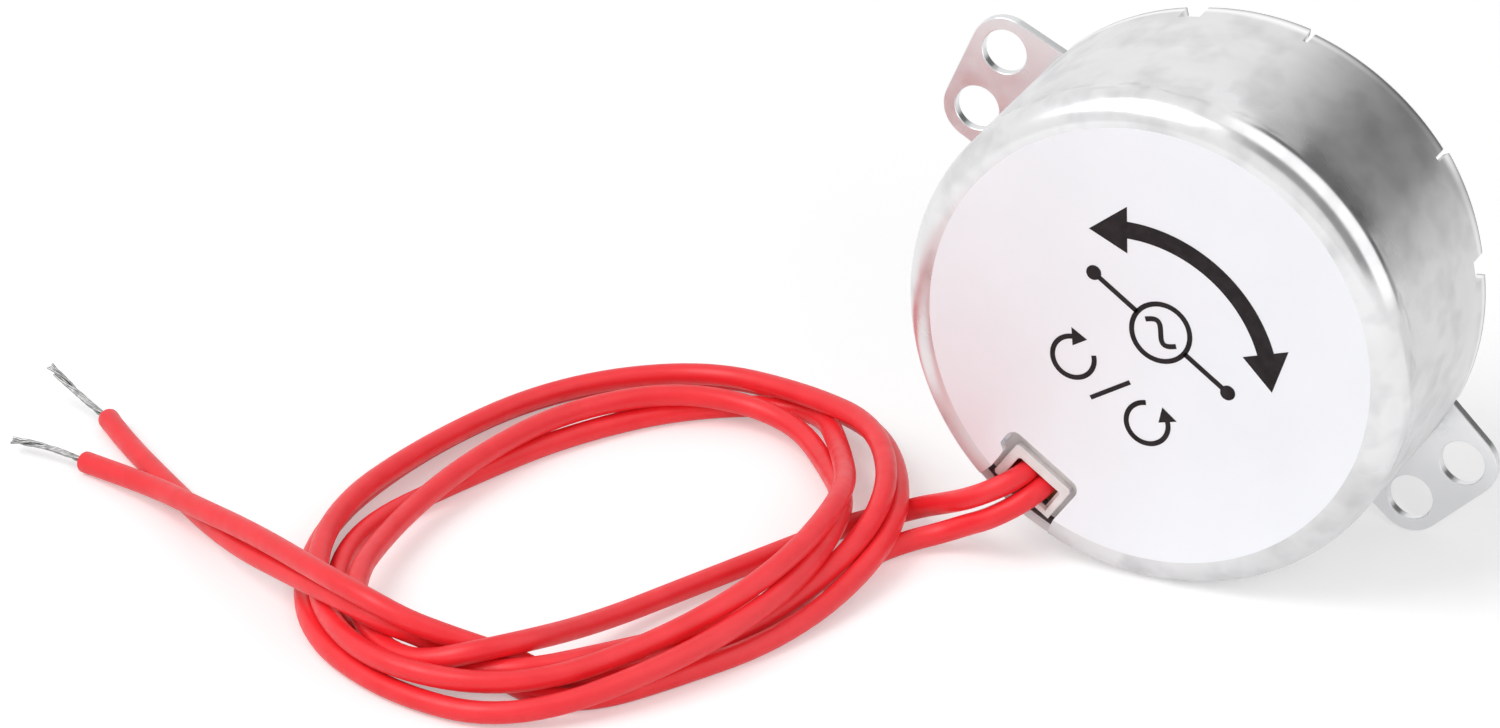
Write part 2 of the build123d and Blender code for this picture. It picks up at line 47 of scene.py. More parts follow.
# The motor's own frame, in millimetres: x along the ears, y towards the wire exit, z from the back face
EXIT_ANGLE = math.radians(-125.2)
RADIAL = Vector((math.cos(EXIT_ANGLE), 0, math.sin(EXIT_ANGLE)))
ALONG = Vector((-math.sin(EXIT_ANGLE), 0, math.cos(EXIT_ANGLE)))
JOINTS_AT = {joint["name"]: Vector(joint["pos_m"]) / MM for joint in frame["joints"]}
AXIS_X, _, AXIS_Z = JOINTS_AT["rotor_spin"]
BACK_Y = -16.0
TO_METRES = Matrix.Scale(MM, 4)
LOCAL = Matrix.Translation(Vector((AXIS_X, BACK_Y, AXIS_Z)) * MM) @ Matrix(
    (
        (ALONG.x, RADIAL.x, 0, 0),
        (0, 0, 1, 0),
        (ALONG.z, RADIAL.z, 0, 0),
        (0, 0, 0, 1),
    )
) @ TO_METRES


def across_face(joint_name):
    """Place of a joint's axis in the motor's own frame."""
    offset = JOINTS_AT[joint_name] - JOINTS_AT["rotor_spin"]
    return offset.dot(ALONG), offset.dot(RADIAL)


def polar(radius, degrees, centre=(0.0, 0.0)):
    """Point at a distance and an angle from a centre."""
    angle = math.radians(degrees)
    return centre[0] + radius * math.cos(angle), centre[1] + radius * math.sin(angle)


def arc(centre, radius, start, end, steps):
    """Points along an arc, with both its ends."""
    return [polar(radius, start + (end - start) * i / steps, centre) for i in range(steps + 1)]


def circle(centre, radius, count=48):
    """Points round a circle."""
    return arc(centre, radius, 0, 360, count)[:-1]


# Sizes of housing and cover in millimetres, and their angles in degrees
BODY_R = 25.0
DEPTH = 22.0
SHEET = 0.8
EDGE_R = 3.0
FLAT_R = BODY_R - EDGE_R
COVER_R = 24.0
COVER_IN = 21.0
TABS_AT = (-90, 90)
TAB_HALF = 19.2
TAB_REACH = 1.8
SLIT_HALF = 0.573
SLIT_DEPTH = 1.9
NOTCH_ANGLE = 45.7
NOTCH_HALF = 2.52
NOTCH_DEPTH = 2.3
EAR_GAP = (-10.9, 24.2)
EXIT_AT = 90
EXIT_RIGHT = 10.6
EXIT_LEFT = 9.6
EXIT_INNER = 16.9
EXIT_DEPTH = 1.9
MAIN_HOLE = (29.0, 0.0)
SECOND_HOLE = polar(28.4, 13.8)
EAR_HOLE_R = 2.25
OUTPUT_AT = across_face("output_spin")
GEAR_PINS_AT = [across_face(f"gear_{k}_spin") for k in (1, 2, 3)]


# Materials: the used part of a noise's range, depths of relief in metres, and node helpers

EVEN = (1, 1, 1)
NOISE_LOW, NOISE_HIGH = 0.3, 0.7
GRAIN_DEPTH = 0.00002
SKIN_DEPTH = 0.00003
DENT_DEPTH = 0.0001


def new_material(name):
    """A new material, its node tree and its shader."""
    mat = bpy.data.materials.new(name)
    mat.use_nodes = True
    return mat, mat.node_tree, mat.node_tree.nodes["Principled BSDF"]


def add_node(tree, kind, values, sources):
    """New node with some inputs set to values and others linked to their sources."""
    node = tree.nodes.new("ShaderNode" + kind)
    for socket, value in values.items():
        node.inputs[socket].default_value = value
    for socket, source in sources.items():
        tree.links.new(source, node.inputs[socket])
    return node


def place(tree):
    """Place on the object, in metres."""
    return add_node(tree, "TexCoord", {}, {}).outputs["Object"]


def noise(tree, scale, detail=3.0, rough=0.5, stretch=EVEN):
    """Noise over the object, even or stretched."""
    mapping = add_node(tree, "Mapping", {"Scale": stretch}, {"Vector": place(tree)})
    values = {"Scale": scale, "Detail": detail, "Roughness": rough}
    return add_node(tree, "TexNoise", values, {"Vector": mapping.outputs["Vector"]}).outputs["Fac"]


def ramp(tree, value, low, high, low_at=NOISE_LOW, high_at=NOISE_HIGH):
    """Colour that goes from one tone to another."""
    node = add_node(tree, "ValToRGB", {}, {"Fac": value})
    first, last = node.color_ramp.elements
    first.position = low_at
    last.position = high_at
    first.color = (*low, 1)
    last.color = (*high, 1)
    return node.outputs["Color"]


def spread(tree, value, low, high, start=NOISE_LOW, end=NOISE_HIGH):
    """Value that goes from low to high while another goes from start to end."""
    values = {"From Min": start, "From Max": end, "To Min": low, "To Max": high}
    return add_node(tree, "MapRange", values, {"Value": value}).outputs["Result"]


def along_axis(tree, axis, start, end, low, high):
    """Value that goes from low to high along an axis between two places, in millimetres."""
    parts = add_node(tree, "SeparateXYZ", {}, {"Vector": place(tree)})
    return spread(tree, parts.outputs[axis], low, high, start * MM, end * MM)


def depth_band(tree, start, peak, end):
    """One at a depth from the back face, in millimetres, fading to nothing on both sides."""
    share = along_axis(tree, "Y", BACK_Y + start, BACK_Y + end, 0.0, 1.0)
    node = add_node(tree, "ValToRGB", {}, {"Fac": share})
    for element in node.color_ramp.elements:
        element.color = (0, 0, 0, 1)
    node.color_ramp.elements.new((peak - start) / (end - start)).color = (1, 1, 1, 1)
    return node.outputs["Color"]


def combined(tree, operation, first, second):
    """Two values put together by an operation of the maths node."""
    node = add_node(tree, "Math", {}, {0: first, 1: second})
    node.operation = operation
    return node.outputs["Value"]


def mixed(tree, amount, colour, other):
    """Colour blended towards another by an amount that varies over the surface."""
    node = tree.nodes.new("ShaderNodeMix")
    node.data_type = "RGBA"
    node.inputs["B"].default_value = (*other, 1)
    tree.links.new(amount, node.inputs["Factor"])
    tree.links.new(colour, node.inputs["A"])
    return node.outputs["Result"]


def bump(tree, shader, value, strength, distance):
    """Fine relief on the shader's surface."""
    node = add_node(tree, "Bump", {"Strength": strength, "Distance": distance}, {"Height": value})
    tree.links.new(node.outputs["Normal"], shader.inputs["Normal"])


# Materials: the finishes


def metal(name, low, high, rough_low, rough_high, scale=420.0, fine=5200.0, stretch=EVEN, grain=0.12):
    """Satin metal with mottled tone and a fine grain."""
    mat, tree, shader = new_material(name)
    shader.inputs["Metallic"].default_value = 1.0
    clouds = noise(tree, scale, detail=4.0, rough=0.55, stretch=stretch)
    tree.links.new(ramp(tree, clouds, low, high), shader.inputs["Base Color"])
    smear = noise(tree, scale * 2.3, rough=0.6, stretch=stretch)
    tree.links.new(spread(tree, smear, rough_low, rough_high), shader.inputs["Roughness"])
    bump(tree, shader, noise(tree, fine, detail=2.0, stretch=stretch), grain, GRAIN_DEPTH)
    return mat


def plastic(name, low, high, rough, scale=600.0, grain=0.1, subsurface=0.0):
    """Moulded plastic with a slightly uneven colour and skin."""
    mat, tree, shader = new_material(name)
    tree.links.new(ramp(tree, noise(tree, scale), low, high), shader.inputs["Base Color"])
    smear = noise(tree, scale * 3, detail=2.0)
    tree.links.new(spread(tree, smear, rough - 0.05, rough + 0.07), shader.inputs["Roughness"])
    bump(tree, shader, noise(tree, scale * 8, detail=2.0), grain, SKIN_DEPTH)
    if subsurface:
        shader.inputs["Subsurface Weight"].default_value = subsurface
        shader.inputs["Subsurface Radius"].default_value = (0.001, 0.0008, 0.0006)
    return mat


def zinc_wall():
    """Drawn zinc-plated sheet: clouded, with wear and painted shade along the drawn edge, a painted highlight band
    under the rim, a dark rim line of sheared-edge tone and painted shade, and duller below.
    """
    mat, tree, shader = new_material("zinc_wall")
    matt_below = along_axis(tree, "Z", AXIS_Z - 6.0, AXIS_Z - 13.0, 1.0, 0.45)
    tree.links.new(matt_below, shader.inputs["Metallic"])
    clouds = noise(tree, 130, stretch=(1, 1.6, 1))
    tone = ramp(tree, clouds, (0.74, 0.74, 0.745), (0.81, 0.81, 0.82))
    soft = noise(tree, 300, detail=2.0, stretch=(1, 0.7, 1))
    smudges = ramp(tree, soft, (0, 0, 0), (0.5, 0.5, 0.5), 0.46, 0.74)
    tone = mixed(tree, smudges, tone, (0.52, 0.52, 0.53))
    # Wear and painted shade: mottled darkening in a band where the rounded edge meets the wall, standing in for
    # the dark ring seen there.
    edge_mottle = noise(tree, 420, detail=2.0, stretch=(1, 2.2, 1))
    scuffs_and_edge_shade = ramp(tree, edge_mottle, (0, 0, 0), (0.75, 0.75, 0.75), 0.5, 0.8)
    edge_shade_band = depth_band(tree, EDGE_R - 0.8, EDGE_R + 0.1, EDGE_R + 1.0)
    tone = mixed(tree, combined(tree, "MULTIPLY", scuffs_and_edge_shade, edge_shade_band), tone, (0.40, 0.40, 0.41))
    # Painted highlight: a near-white band just under the rim, standing in for light caught by its sprung-out edge.
    tone = mixed(tree, depth_band(tree, DEPTH - 1.2, DEPTH - 0.6, DEPTH - 0.1), tone, (0.98, 0.98, 0.98))
    # Dark line along the rim and over the tabs' fold: the sheared edge's own darker tone together with painted
    # shade.
    tone = mixed(tree, depth_band(tree, DEPTH - 0.3, DEPTH + 0.1, DEPTH + 0.5), tone, (0.24, 0.24, 0.25))
    tree.links.new(tone, shader.inputs["Base Color"])
    dull = spread(tree, noise(tree, 200, detail=2.0), 0.17, 0.25)
    for axis, start, end, amount in (
        ("X", -4.0, -21.0, 0.09),
        ("Y", BACK_Y + 3.0, BACK_Y + 7.0, 0.13),
        ("Z", AXIS_Z - 7.0, AXIS_Z - 13.0, 0.36),
    ):
        dull = combined(tree, "ADD", dull, along_axis(tree, axis, start, end, 0.0, amount))
    tree.links.new(dull, shader.inputs["Roughness"])
    bump(tree, shader, noise(tree, 500, detail=2.0), 0.04, DENT_DEPTH)
    return mat


def zinc_face():
    """The flat back of the cup: even, softly matt plating."""
    mat, tree, shader = new_material("zinc_face")
    shader.inputs["Metallic"].default_value = 0.6
    tone = ramp(tree, noise(tree, 90), (0.880, 0.893, 0.925), (0.905, 0.918, 0.950))
    tree.links.new(tone, shader.inputs["Base Color"])
    tree.links.new(spread(tree, noise(tree, 210), 0.52, 0.60), shader.inputs["Roughness"])
    bump(tree, shader, noise(tree, 3800, detail=2.0), 0.08, GRAIN_DEPTH)
    return mat


def black_ink():
    """Printing ink with little shine."""
    mat = plastic("black_ink", (0.014, 0.010, 0.011), (0.026, 0.020, 0.022), 0.6, 900.0)
    mat.node_tree.nodes["Principled BSDF"].inputs["Specular IOR Level"].default_value = 0.2
    return mat


ZINC_FACE = zinc_face()
ZINC_COVER = metal("zinc_cover", (0.72, 0.725, 0.735), (0.78, 0.785, 0.795), 0.20, 0.28, 160.0)
INK = black_ink()
MATS = {
    "zinc_steel": zinc_wall(),
    "steel": metal("sheet_steel", (0.50, 0.51, 0.53), (0.64, 0.65, 0.67), 0.30, 0.45),
    "bright_steel": metal(
        "ground_steel", (0.66, 0.67, 0.69), (0.76, 0.77, 0.79), 0.16, 0.30, 900.0, 9000.0, (1, 0.12, 1)
    ),
    "brass": metal("turned_brass", (0.66, 0.48, 0.20), (0.80, 0.62, 0.30), 0.20, 0.34),
    "white_plastic": plastic("white_nylon", (0.80, 0.77, 0.75), (0.90, 0.87, 0.85), 0.45, subsurface=0.1),
    "gear_plastic": plastic("white_acetal", (0.82, 0.81, 0.76), (0.90, 0.89, 0.84), 0.36),
    "ferrite": plastic("ferrite", (0.035, 0.035, 0.038), (0.07, 0.07, 0.075), 0.5, 1500.0, 0.3),
    # Darker than the enamelled copper's own tone: painted shade of the coil deep in the wire exit's recess.
    "copper_wire": metal(
        "enamelled_copper_painted_shade", (0.13, 0.045, 0.02), (0.26, 0.09, 0.045), 0.3, 0.45, 300.0, 4500.0, (1, 6, 1), 0.5
    ),
    "red_insulation": plastic("red_pvc", (0.91, 0.022, 0.032), (0.98, 0.034, 0.046), 0.40, 260.0, 0.05),
    "tinned_strand": metal("tinned_copper", (0.20, 0.20, 0.20), (0.46, 0.46, 0.45), 0.26, 0.40, 1600.0),
}

SLOTS = {part["node"]: part["material_slot"] for part in frame["record"]["subparts"]}
for node_name, node in frame["nodes"].items():
    node.data.materials.clear()
    node.data.materials.append(MATS[SLOTS[node_name]])


# Mesh helpers


def add_mesh(name, bm, slot_name, body="motor", material=None, transform=LOCAL, smooth_angle=32.0):
    """Mesh object from a bmesh in local millimetres, riding on a body."""
    me = bpy.data.meshes.new(name)
    bmesh.ops.recalc_face_normals(bm, faces=bm.faces)
    bm.to_mesh(me)
    bm.free()
    me.transform(transform)
    for poly in me.polygons:
        poly.use_smooth = True
    me.set_sharp_from_angle(angle=math.radians(smooth_angle))
    me.materials.append(material or MATS[slot_name])
    obj = bpy.data.objects.new(name, me)
    scene.collection.objects.link(obj)
    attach(obj, body)
    return obj


def join_rings(bm, rings):
    """Faces between each closed ring of vertices and the next."""
    for lower, upper in zip(rings, rings[1:]):
        for k in range(len(lower)):
            after = (k + 1) % len(lower)
            bm.faces.new((lower[k], lower[after], upper[after], upper[k]))


# Housing: one drawn sheet, laid out as a grid of angle by profile

COLUMN_STEP = 1.5
COLUMN_CLEAR = 0.55
ANGLE_SLACK = 0.01
EDGE_STEPS = 12
WALL_RINGS = (6.5, 10.0, 13.5, 17.0, 19.0)
LIP = 0.5
FLARE = 0.42
FLARE_FROM, FLARE_TO = TAB_HALF + 0.5, NOTCH_ANGLE - 2.4
FLARE_CURVE = 1.5
EXIT_SIDES = (4.1, -4.5)
EXIT_CORNER = 1.0
EXIT_HOOK = ((0.0, 18.9), (0.12, 19.15), (0.65, 19.45), (0.78, 19.75))
CUT_EDGE = 0.14
CUT_EDGE_ANGLE = 50.0


def housing_cuts():
    """Openings in the sheet as (first angle, last angle, first depth, last depth)."""
    first, last = EAR_GAP
    cuts = [
        (first, last, COVER_IN, math.inf),
        (180 - last, 180 - first, COVER_IN, math.inf),
        (EXIT_AT - EXIT_RIGHT, EXIT_AT + EXIT_LEFT, -math.inf, EXIT_DEPTH),
    ]
    for middle in TABS_AT:
        for side in (-1, 1):
            slit = middle + side * TAB_HALF
            notch = middle + side * NOTCH_ANGLE
            cuts.append((slit - SLIT_HALF, slit + SLIT_HALF, DEPTH - SLIT_DEPTH, math.inf))
            cuts.append((notch - NOTCH_HALF, notch + NOTCH_HALF, DEPTH - NOTCH_DEPTH, math.inf))
    return cuts


CUTS = housing_cuts()


def column_angles():
    """Angles of the grid's columns, with both edges of every cut on a column."""
    marks = {round(edge % 360, 3) for cut in CUTS for edge in cut[:2]}
    angles = list(marks)
    for index in range(round(360 / COLUMN_STEP)):
        angle = index * COLUMN_STEP
        if all(min(abs(angle - mark), 360 - abs(angle - mark)) > COLUMN_CLEAR for mark in marks):
            angles.append(angle)
    return sorted(angles)


def within(angle, low, high):
    """True between two angles, also where they lie on both sides of zero."""
    return (angle - low) % 360 < (high - low) % 360


def is_open(angle, z):
    """True where the sheet is cut away."""
    return any(low < z < high and within(angle, first, last) for first, last, low, high in CUTS)


def in_tab(angle):
    """True where the rim is folded over the cover."""
    return any(within(angle, middle - TAB_HALF, middle + TAB_HALF) for middle in TABS_AT)


def housing_profile():
    """Rings of the grid as (radius, z), from the flat face to the rim and over the tabs."""
    rings = []
    cut_turn = math.degrees(math.acos((EDGE_R - EXIT_DEPTH) / EDGE_R))
    for turn in sorted([90 * i / EDGE_STEPS for i in range(EDGE_STEPS + 1)] + [cut_turn]):
        across, down = polar(EDGE_R, turn)
        rings.append((FLAT_R + down, EDGE_R - across))
    for z in WALL_RINGS + (DEPTH - NOTCH_DEPTH, DEPTH - SLIT_DEPTH, COVER_IN, DEPTH - LIP, DEPTH):
        rings.append((BODY_R, z))
    for turn in (30, 60, 90):
        across, up = polar(SHEET, turn)
        rings.append((BODY_R - SHEET + across, DEPTH + up))
    rings.append((BODY_R - TAB_REACH, DEPTH + SHEET))
    return rings


def exit_outline():
    """Inner outline of the wire exit in the flat face, from its right side to the hook on its left."""
    right, left = EXIT_SIDES
    points = []
    for x, start in ((right - EXIT_CORNER, 0), (left + EXIT_CORNER, -90)):
        points += arc((x, EXIT_INNER + EXIT_CORNER), EXIT_CORNER, start, start - 90, 6)
    return points + [(left + x, y) for x, y in EXIT_HOOK]


def rim_flare(angle, z):
    """How far the rim's free pieces beside the far tab are sprung outwards, most at the slits."""
    from_tab = abs((angle - TABS_AT[0] + 180) % 360 - 180)
    if not FLARE_FROM <= from_tab <= FLARE_TO:
        return 0.0
    share = (FLARE_TO - from_tab) / (FLARE_TO - FLARE_FROM)
    height = max(0.0, (z - (DEPTH - SLIT_DEPTH)) / SLIT_DEPTH)
    return FLARE * share * height**FLARE_CURVE


def turn_past_exit(vert):
    """Degrees from the exit's left edge round to a vertex of the flat face."""
    return (math.degrees(math.atan2(vert.co.y, vert.co.x)) - EXIT_AT - EXIT_LEFT + ANGLE_SLACK) % 360


def flat_face(bm, ring, angles):
    """Closes the flat back inside its first ring, with the wire exit cut out of it."""
    first, last = EXIT_AT - EXIT_RIGHT + ANGLE_SLACK, EXIT_AT + EXIT_LEFT - ANGLE_SLACK
    outline = [vert for vert, angle in zip(ring, angles) if not within(angle, first, last)]
    start = min(range(len(outline)), key=lambda i: turn_past_exit(outline[i]))
    outline = outline[start:] + outline[:start]
    outline += [bm.verts.new((x, y, 0)) for x, y in exit_outline()]
    return bm.faces.new(outline)


def housing():
    """The cup: a sheet with its cuts, its folded tabs and its flat back."""
    bm = bmesh.new()
    angles = column_angles()
    rings = housing_profile()
    count = len(angles)
    rim = next(i for i, ring in enumerate(rings) if ring[1] >= DEPTH)
    grid = [[bm.verts.new((*polar(r + rim_flare(a, z), a), z)) for a in angles] for r, z in rings]
    for row in range(len(rings) - 1):
        z = (rings[row][1] + rings[row + 1][1]) / 2
        for col in range(count):
            after = (col + 1) % count
            angle = angles[col] + (angles[after] - angles[col]) % 360 / 2
            if is_open(angle, z) or (row >= rim and not in_tab(angle)):
                continue
            bm.faces.new((grid[row][col], grid[row][after], grid[row + 1][after], grid[row + 1][col]))
    flat_face(bm, grid[0], angles).material_index = 1
    loose = [vert for vert in bm.verts if not vert.link_faces]
    bmesh.ops.delete(bm, geom=loose, context="VERTS")
    obj = add_mesh("housing_shell", bm, "zinc_steel")
    obj.data.materials.append(ZINC_FACE)
    solid = obj.modifiers.new("sheet", "SOLIDIFY")
    solid.thickness = SHEET * MM
    solid.offset = -1
    solid.use_even_offset = True
    bevel = obj.modifiers.new("edges", "BEVEL")
    bevel.width = CUT_EDGE * MM
    bevel.segments = 2
    bevel.limit_method = "ANGLE"
    bevel.angle_limit = math.radians(CUT_EDGE_ANGLE)
    bevel.harden_normals = True
    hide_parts("back_housing")


housing()


# Cover: a flat plate with an ear on both sides

EAR_CORNER = 3.5
EAR_LOW_SLOPE, EAR_HIGH_SLOPE = 10.8, 4.8
EAR_ROOTS = (-4.45, 9.75)
EAR_STEPS = 10
COVER_STEPS = 60
COVER_EDGE = 0.1
BUSH_R = 5.0
PIN_HOLE_R = 0.75
PLATE_SMOOTH = 11
PLATE_WELD = 1e-4


def plate(name, outlines, bottom, top, slot_name, edge, replaces, material=None):
    """Flat plate with holes and softened edges, from closed outlines in local millimetres."""
    curve = bpy.data.curves.new(name, "CURVE")
    curve.dimensions = "2D"
    curve.fill_mode = "BOTH"
    curve.extrude = (top - bottom) / 2 - edge
    curve.bevel_depth = edge
    curve.bevel_resolution = 2
    curve.offset = -edge
    for points in outlines:
        spline = curve.splines.new("POLY")
        spline.points.add(len(points) - 1)
        for point, (x, y) in zip(spline.points, points):
            point.co = (x, y, 0, 1)
        spline.use_cyclic_u = True
    holder = bpy.data.objects.new(name + "_outline", curve)
    scene.collection.objects.link(holder)
    me = bpy.data.meshes.new_from_object(holder.evaluated_get(bpy.context.evaluated_depsgraph_get()))
    bpy.data.objects.remove(holder)
    bpy.data.curves.remove(curve)
    bm = bmesh.new()
    bm.from_mesh(me)
    bpy.data.meshes.remove(me)
    bmesh.ops.remove_doubles(bm, verts=bm.verts, dist=PLATE_WELD)
    bmesh.ops.translate(bm, verts=bm.verts, vec=(0, 0, (top + bottom) / 2))
    obj = add_mesh(name, bm, slot_name, material=material, smooth_angle=PLATE_SMOOTH)
    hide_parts(replaces)


def ear_outline():
    """Outline of the right ear, counter-clockwise from its lower root."""
    between = math.degrees(math.atan2(SECOND_HOLE[1] - MAIN_HOLE[1], SECOND_HOLE[0] - MAIN_HOLE[0])) - 90
    lower = arc(MAIN_HOLE, EAR_CORNER, EAR_LOW_SLOPE - 90, between, EAR_STEPS)
    upper = arc(SECOND_HOLE, EAR_CORNER, between, EAR_HIGH_SLOPE + 90, EAR_STEPS)
    return lower + upper


def cover_outline():
    """Cover outline: the round plate with both ears."""
    right = ear_outline()
    left = [(-x, y) for x, y in reversed(right)]
    low, high = (math.degrees(math.asin(root / COVER_R)) for root in EAR_ROOTS)
    exit_side = arc((0, 0), COVER_R, high, 180 - high, COVER_STEPS)
    far_side = arc((0, 0), COVER_R, 180 - low, 360 + low, COVER_STEPS)
    return right + exit_side + left + far_side


def cover():
    """The cover with its four ear holes, the hole for the bush and those for the gear pins."""
    ear_holes = [circle((side * x, y), EAR_HOLE_R) for side in (1, -1) for x, y in (MAIN_HOLE, SECOND_HOLE)]
    pin_holes = [circle(at, PIN_HOLE_R, 24) for at in GEAR_PINS_AT]
    outlines = [cover_outline(), *ear_holes, circle(OUTPUT_AT, BUSH_R, 64), *pin_holes]
    plate("cover_plate", outlines, COVER_IN, DEPTH, "zinc_steel", COVER_EDGE, "front_cover", ZINC_COVER)


cover()


# Turned pieces: bush, shaft, pin heads and rivets

BUSH_BORE = 4.04
BUSH_TOP = DEPTH + 2.2
FLANGE_R = 6.5
FLANGE_TOP = DEPTH + 0.8
BUSH_PROFILE = [
    (BUSH_BORE, COVER_IN), (BUSH_R, COVER_IN), (BUSH_R, DEPTH), (FLANGE_R - 0.08, DEPTH),
    (FLANGE_R, DEPTH + 0.08), (FLANGE_R, FLANGE_TOP - 0.12), (FLANGE_R - 0.12, FLANGE_TOP),
    (BUSH_R + 0.08, FLANGE_TOP), (BUSH_R, FLANGE_TOP + 0.08), (BUSH_R, BUSH_TOP - 0.15),
    (BUSH_R - 0.15, BUSH_TOP), (BUSH_BORE + 0.12, BUSH_TOP), (BUSH_BORE, BUSH_TOP - 0.12),
    (BUSH_BORE, COVER_IN),
]
PIVOT_R, HUB_R, JOURNAL_R, SHAFT_R = 2.0, 4.5, 4.0, 3.5
PIVOT_END, HUB_START, HUB_END = 11.8, 12.8, 20.3
TIP = BUSH_TOP + 7.8
FLAT_REACH = 2.8
SHAFT_PROFILE = [
    (PIVOT_R, PIVOT_END), (PIVOT_R, HUB_START), (HUB_R, HUB_START), (HUB_R, HUB_END), (JOURNAL_R, HUB_END),
    (JOURNAL_R, BUSH_TOP), (SHAFT_R, BUSH_TOP), (SHAFT_R, TIP - 0.4), (SHAFT_R - 0.08, TIP - 0.26),
    (SHAFT_R - 0.32, TIP - 0.06), (SHAFT_R - 0.48, TIP), (0.9, TIP), (0.62, TIP - 0.3), (0.0, TIP - 0.42),
]
PIN_HEAD = [
    (radius, DEPTH + up)
    for radius, up in ((1.15, -0.05), (1.15, 0.1), (1.0, 0.26), (0.7, 0.36), (0.3, 0.4))
]
POST_RIVET = [
    (radius, DEPTH + up)
    for radius, up in ((1.5, -0.05), (1.5, 0.08), (1.35, 0.22), (0.85, 0.3), (0.7, 0.2), (0.25, 0.18))
]
POST_RING_R = 21.5
POSTS_AT = (-20, 105, 200)
SMALLEST_R = 0.001
RING_WELD = 1e-5


def lathe(name, profile, centre, slot_name, body="motor", count=72, smooth_angle=32.0, flat=None):
    """Turned piece from (radius, z) points; with flat=(z, reach) it is cut flat above z."""
    bm = bmesh.new()
    rings = []
    for radius, z in profile:
        ring = []
        for k in range(count):
            x, y = polar(max(radius, SMALLEST_R), 360 * (k + 0.5) / count)
            if flat and z >= flat[0]:
                y = min(y, flat[1])
            ring.append(bm.verts.new((centre[0] + x, centre[1] + y, z)))
        rings.append(ring)
    join_rings(bm, rings)
    if profile[0] != profile[-1]:
        bm.faces.new(rings[0])
        bm.faces.new(rings[-1])
    else:
        bmesh.ops.remove_doubles(bm, verts=bm.verts, dist=RING_WELD)
    return add_mesh(name, bm, slot_name, body, smooth_angle=smooth_angle)


bush = lathe("bush_turned", BUSH_PROFILE, OUTPUT_AT, "brass")
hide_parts("output_bush")
shaft = lathe(
    "shaft_turned", SHAFT_PROFILE, OUTPUT_AT, "bright_steel", "output", 120, 28, (BUSH_TOP, FLAT_REACH)
)
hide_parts("output_shaft")
for k, at in enumerate(GEAR_PINS_AT):
    lathe(f"pin_head_{k + 1}", PIN_HEAD, at, "bright_steel", count=28)
for k, angle in enumerate(POSTS_AT):
    lathe(f"post_rivet_{k + 1}", POST_RIVET, polar(POST_RING_R, angle), "steel", count=32)


# Guide: the white frame in the wire exit

GUIDE_OUTLINE = [
    (3.6, 22.66), (3.6, 18.8), (3.35, 18.54), (-3.0, 18.54), (-3.25, 18.8), (-3.25, 22.5), (-3.0, 22.75),
    (-2.5, 22.75), (-2.25, 22.5), (-2.25, 19.8), (-2.05, 19.58), (2.65, 19.58), (2.87, 19.8), (2.87, 22.16),
    (1.3, 22.16), (1.3, 22.66),
]
GUIDE_BACK, GUIDE_FRONT = 1.0, 1.8
GUIDE_EDGE = 0.12

plate("guide_frame", [GUIDE_OUTLINE], GUIDE_BACK, GUIDE_FRONT, "white_plastic", GUIDE_EDGE, "lead_guide")


# Printed marks on the flat face: a two-way arrow, an alternating-current sign and both turning senses

INK_TOP, INK_BOTTOM = -0.03, 0.03
INK_STEPS = 48
LINE = 0.5
HEAD_HALF, HEAD_LEAN = 0.62, 0.12
ARROW_CENTRE, ARROW_R, ARROW_HALF = (0, 3.2), 14.2, 37
ARROW_LINE, ARROW_HEAD = 1.7, 3.8
SIGN_Y, SIGN_R = -2.2, 2.9
WAVE_HALF, WAVE_RISE, WAVE_STEPS = 1.9, 0.75, 30
LEG_END, DOT_X, DOT_R = 7.6, 8.3, 0.75
TURN_X, TURN_Y, TURN_R, TURN_HEAD = 4.6, 6.3, 2.1, 1.5
TURN_FROM, TURN_TO = -50, 230
SLASH_X, SLASH_LINE = 0.9, 0.45


def ink_polygon(bm, points):
    """Thin printed patch with the given outline."""
    top = [bm.verts.new((x, y, INK_TOP)) for x, y in points]
    low = [bm.verts.new((x, y, INK_BOTTOM)) for x, y in points]
    bm.faces.new(top)
    join_rings(bm, [top, low])


def ink_line(bm, points, width):
    """Printed line of even width along points."""
    left, right = [], []
    for i, (x, y) in enumerate(points):
        ahead = points[min(i + 1, len(points) - 1)]
        behind = points[max(i - 1, 0)]
        dx, dy = ahead[0] - behind[0], ahead[1] - behind[1]
        size = math.hypot(dx, dy)
        nx, ny = -dy / size * width / 2, dx / size * width / 2
        left.append((x + nx, y + ny))
        right.append((x - nx, y - ny))
    for i in range(len(points) - 1):
        ink_polygon(bm, [left[i], left[i + 1], right[i + 1], right[i]])


def ink_head(bm, centre, radius, angle, way, head):
    """Printed arrow head at an angle of an arc; way is 1 counter-clockwise and -1 clockwise."""
    out = Vector(polar(1, angle))
    tangent = Vector((-out.y, out.x)) * way
    root = Vector(centre) + out * radius
    half = out * head * HEAD_HALF
    tip = root + tangent * head - out * head * HEAD_LEAN
    ink_polygon(bm, [tuple(root + half), tuple(tip), tuple(root - half)])


